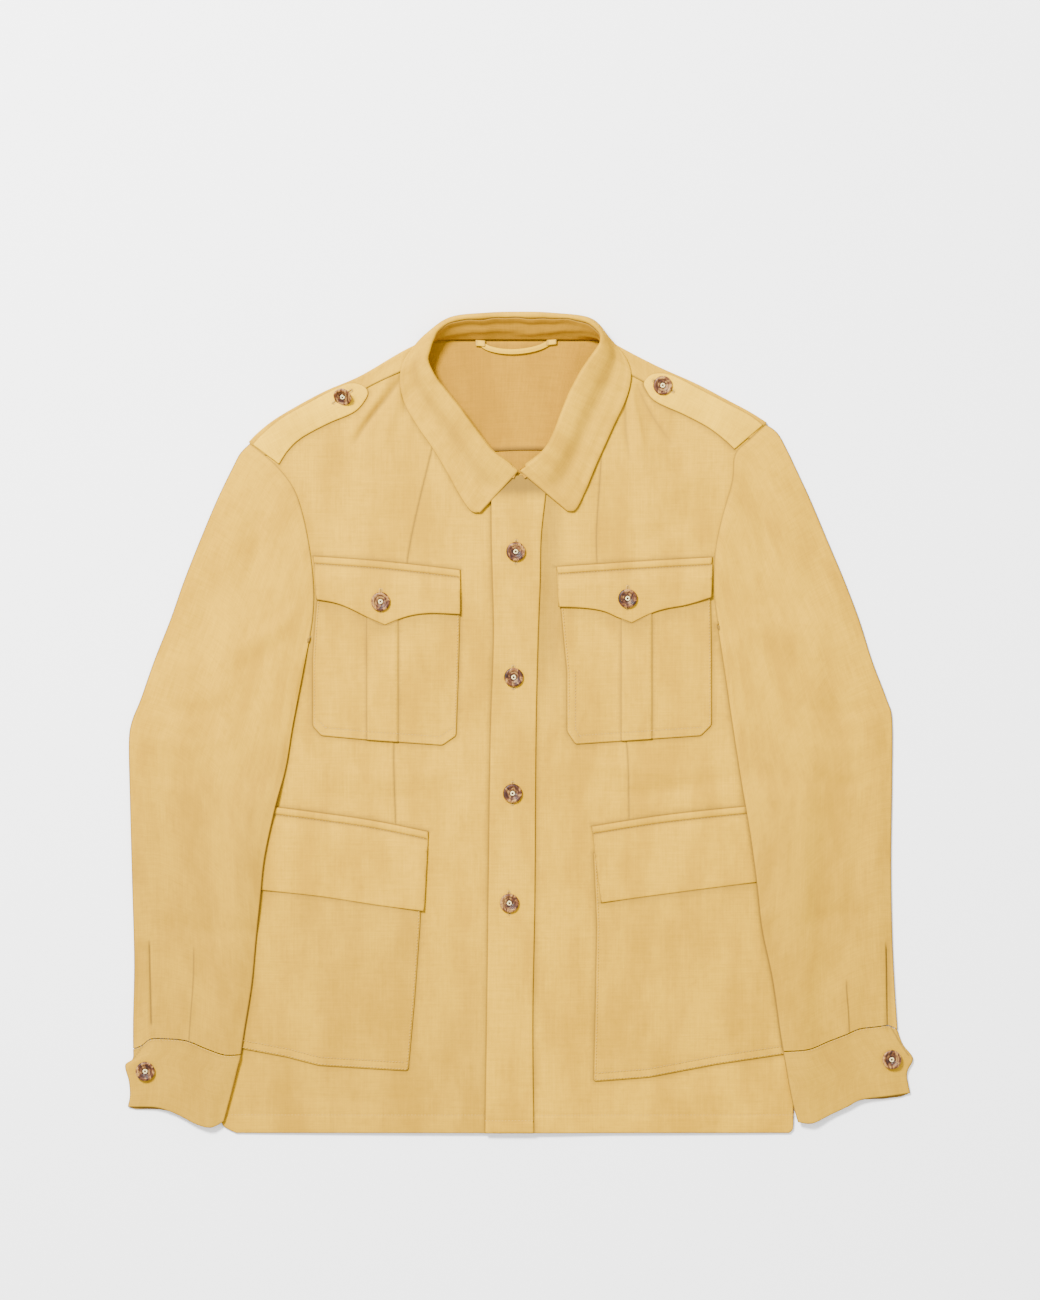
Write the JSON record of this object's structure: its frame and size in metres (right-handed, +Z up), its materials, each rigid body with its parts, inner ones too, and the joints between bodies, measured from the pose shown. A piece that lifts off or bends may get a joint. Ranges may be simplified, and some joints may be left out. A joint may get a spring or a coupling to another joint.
{
  "type": "safari jacket",
  "caption": "Lightweight safari jacket laid flat, with shirt collar, epaulettes, pleated chest pockets, large lower pockets and buttoned cuffs.",
  "frame": {"origin": "on the surface that the jacket lies on, under the middle of its bounding box", "axes": "+Y from the hem to the collar, +X to the wearer's left, +Z up out of the surface"},
  "size_m": [0.741, 0.771, 0.0286],
  "materials": {
    "khaki_cloth": "matt plain-weave linen and cotton cloth with small slubs, pressed",
    "horn_button": "polished, marbled brown and cream like horn"
  },
  "bodies": {
    "root": {"back": "khaki_cloth", "yoke": "khaki_cloth", "front_right": "khaki_cloth", "front_left": "khaki_cloth", "placket": "khaki_cloth", "collar_stand": "khaki_cloth", "collar_fall": "khaki_cloth", "sleeve_right": "khaki_cloth", "sleeve_left": "khaki_cloth", "cuff_right": "khaki_cloth", "cuff_left": "khaki_cloth", "epaulette_right": "khaki_cloth", "epaulette_left": "khaki_cloth", "chest_pocket_right": "khaki_cloth", "chest_pocket_left": "khaki_cloth", "chest_flap_right": "khaki_cloth", "chest_flap_left": "khaki_cloth", "lower_pocket_right": "khaki_cloth", "lower_pocket_left": "khaki_cloth", "lower_flap_right": "khaki_cloth", "lower_flap_left": "khaki_cloth", "hanger_loop": "khaki_cloth", "button_front_1": "horn_button", "button_front_2": "horn_button", "button_front_3": "horn_button", "button_front_4": "horn_button", "button_chest_right": "horn_button", "button_chest_left": "horn_button", "button_shoulder_right": "horn_button", "button_shoulder_left": "horn_button", "button_cuff_right": "horn_button", "button_cuff_left": "horn_button"}
  },
  "joints": []
}
